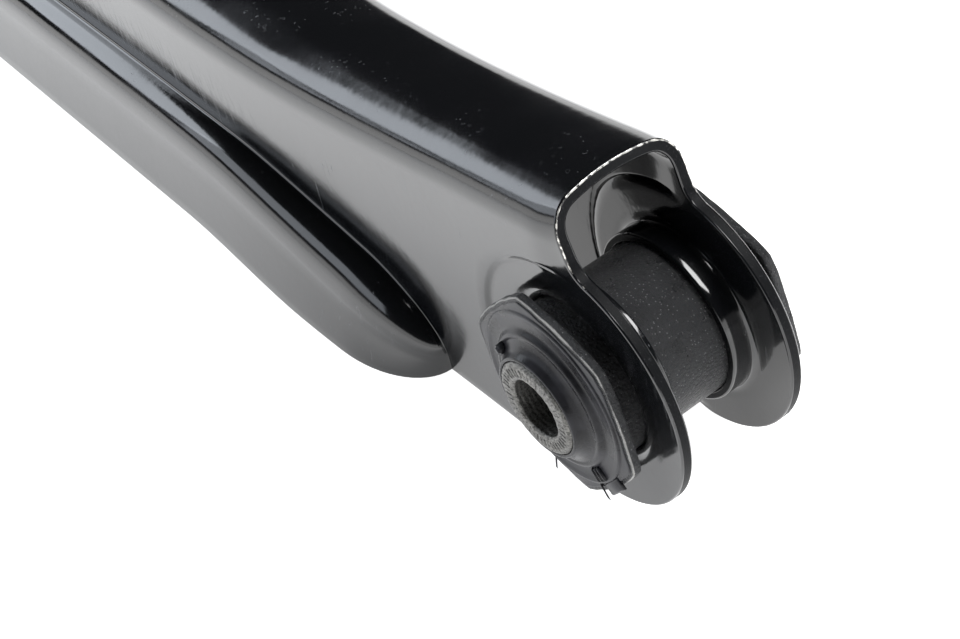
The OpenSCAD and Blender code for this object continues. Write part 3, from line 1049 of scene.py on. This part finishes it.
class ARM_OT_rubber(bpy.types.Operator):
    """Builds both rubber springs with their moulded faces and small moulding details"""

    bl_idname = "control_arm.rubber"
    bl_label = "Rubber springs"

    def execute(self, context):
        rubber = finish_named("satin_moulded_rubber", context)
        tree = fan_tree("Fan of moulded ribs")
        for bush in bushes(context):
            bush.rubber(rubber)
            for detail in MOULDED:
                made = fan(f"{bush.end}_rubber_{detail.name}", tree, detail,
                           (bush.x, detail.height, 0.0), rubber)
                finish_piece(made, "arm", "bush_rubber")
        return {"FINISHED"}


class ARM_OT_centres(bpy.types.Operator):
    """Builds both inner sleeves and the fine teeth on their clamp faces"""

    bl_idname = "control_arm.centres"
    bl_label = "Inner sleeves"

    def execute(self, context):
        steel = finish_named("dull_cut_steel", context)
        sizes = context.scene.bush_sizes
        tree = fan_tree("Fan of clamp teeth")
        tooth = TOOTH._replace(count=sizes.teeth, step=360 / sizes.teeth, seed=sizes.tooth_seed)
        for bush in bushes(context):
            bush.inner_sleeve(steel)
            for label, side in (("near", -1), ("far", 1)):
                place = (bush.x, side * (bush.inner_half - tooth.height), 0.0)
                made = fan(f"{bush.end}_{label}_teeth", tree, tooth, place, steel)
                finish_piece(made, f"{bush.end}_inner", "bare_steel")
        return {"FINISHED"}


CAMERA_PLACE = (0.20763, -0.14396, 0.23833)
CAMERA_AZIMUTH, CAMERA_ELEVATION, CAMERA_ROLL = 61.61, 41.79, -14.02     # degrees
CAMERA_LENS, CAMERA_SENSOR = 69.41, 36.0                                  # mm
FLOOR_HALF = 1.1
COVE_TOP, COVE_SOFT, COVE_GLOW = 9.5, 2, 2.2     # pale cove behind the table: degrees, glow
STUDIO_GLOW = 0.02

WHITE, SKY = (1.0, 1.0, 1.0), (0.86, 0.92, 1.0)
SOFTBOXES = (                # name, place, aim, size, power in Finishes, share of it, colour
    ("top_softbox", (0.45, 0.52, 1.15), (0, 0, 0), (0.8, 0.8), "top_light", 1.0, WHITE),
    ("side_softbox", (-0.98, -0.20, 0.44), (-0.1, 0, 0), (0.74, 0.35), "side_light", 1.0, SKY),
    ("front_softbox", (-0.5015, -0.861, 0.44), (-0.1, 0, 0), (1.1, 0.35), "side_light", 0.74, SKY),
)


class ARM_OT_stage(bpy.types.Operator):
    """Sets up the pale table, the softboxes and the camera"""

    bl_idname = "control_arm.stage"
    bl_label = "Stage"

    def execute(self, context):
        scene = context.scene
        self.table(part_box("arm_pressing")[0].z, finish_named("opal_acrylic_table", context))
        for name, place, aim, size, power, share, tone in SOFTBOXES:
            self.softbox(name, place, aim, size, share * getattr(scene.arm_finishes, power), tone)
        self.surround(scene)
        self.camera(scene)
        scene.view_settings.view_transform = "Standard"
        return {"FINISHED"}

    @staticmethod
    def table(height, finish):
        mesh = bpy.data.meshes.new("table")
        corners = [(FLOOR_HALF * x, FLOOR_HALF * y, height)
                   for x, y in ((-1, -1), (1, -1), (1, 1), (-1, 1))]
        mesh.from_pydata(corners, [], [(0, 1, 2, 3)])
        mesh.materials.append(finish)
        link_object("table", mesh)

    @staticmethod
    def softbox(name, place, aim, size, power, tone):
        light = bpy.data.lights.new(name, "AREA")
        light.shape = "RECTANGLE"
        light.size, light.size_y = size
        light.energy = power
        light.color = tone
        made = link_object(name, light)
        made.location = place
        made.rotation_mode = "QUATERNION"
        made.rotation_quaternion = (Vector(aim) - Vector(place)).to_track_quat("-Z", "Y")
        made.visible_camera = False

    @staticmethod
    def surround(scene):
        """A dim studio that reads as plain pale backdrop where the camera looks past the table."""
        world = bpy.data.worlds.new("studio")
        world.use_nodes = True
        n = Nodes(world.node_tree, "Generated")
        height = n.result("ShaderNodeSeparateXYZ", {0: n.place}, "Z")
        low, high = (math.sin(math.radians(a)) for a in (COVE_TOP - COVE_SOFT, COVE_TOP))
        cove = n.ramp(height, (0.0, 1.0), (low, 0.9), (high, 0.0), (1.0, 0.0))
        glow = n.maths("MULTIPLY_ADD", cove, COVE_GLOW, STUDIO_GLOW)
        seen = n.result("ShaderNodeLightPath", {}, "Is Camera Ray")
        feed(n.tree.nodes["Background"], {"Color": n.tint(seen, glow, linear("#f2f2f2"))})
        scene.world = world

    @staticmethod
    def camera(scene):
        a, e, r = (math.radians(v) for v in (CAMERA_AZIMUTH, CAMERA_ELEVATION, CAMERA_ROLL))
        back = Vector((math.sin(a) * math.cos(e), -math.cos(a) * math.cos(e), math.sin(e)))
        level = Vector((math.cos(a), math.sin(a), 0))
        rise = back.cross(level)
        right = level * math.cos(r) + rise * math.sin(r)
        up = rise * math.cos(r) - level * math.sin(r)
        lens = bpy.data.cameras.new("camera")
        lens.lens, lens.sensor_width = CAMERA_LENS, CAMERA_SENSOR
        lens.clip_start = 0.01
        made = link_object("camera", lens)
        made.rotation_mode = "QUATERNION"
        made.rotation_quaternion = Matrix((right, up, back)).transposed().to_quaternion()
        made.location = CAMERA_PLACE
        scene.camera = made


class ARM_PT_panel(bpy.types.Panel):
    """Sidebar panel with the sizes, the finishes and a button for each group of pieces"""

    bl_idname = "ARM_PT_panel"
    bl_label = "Control arm"
    bl_space_type = "VIEW_3D"
    bl_region_type = "UI"
    bl_category = "Control Arm"

    def draw(self, context):
        for settings in (context.scene.arm_sizes, context.scene.bush_sizes, context.scene.arm_finishes):
            box = self.layout.box()
            for key in settings.__annotations__:
                box.prop(settings, key)
        for operator in OPERATORS:
            self.layout.operator(operator.bl_idname)


OPERATORS = (ARM_OT_pressing, ARM_OT_sleeves, ARM_OT_rubber, ARM_OT_centres, ARM_OT_stage)
CLASSES = (ArmSizes, BushSizes, Finishes, *OPERATORS, ARM_PT_panel)


def register():
    for cls in CLASSES:
        bpy.utils.register_class(cls)
    bpy.types.Scene.arm_sizes = PointerProperty(type=ArmSizes)
    bpy.types.Scene.bush_sizes = PointerProperty(type=BushSizes)
    bpy.types.Scene.arm_finishes = PointerProperty(type=Finishes)


def unregister():
    del bpy.types.Scene.arm_finishes
    del bpy.types.Scene.bush_sizes
    del bpy.types.Scene.arm_sizes
    for cls in reversed(CLASSES):
        bpy.utils.unregister_class(cls)


def main():
    """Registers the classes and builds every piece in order."""
    register()
    bpy.ops.control_arm.pressing()
    bpy.ops.control_arm.sleeves()
    bpy.ops.control_arm.rubber()
    bpy.ops.control_arm.centres()
    bpy.ops.control_arm.stage()


if __name__ == "__main__":
    main()
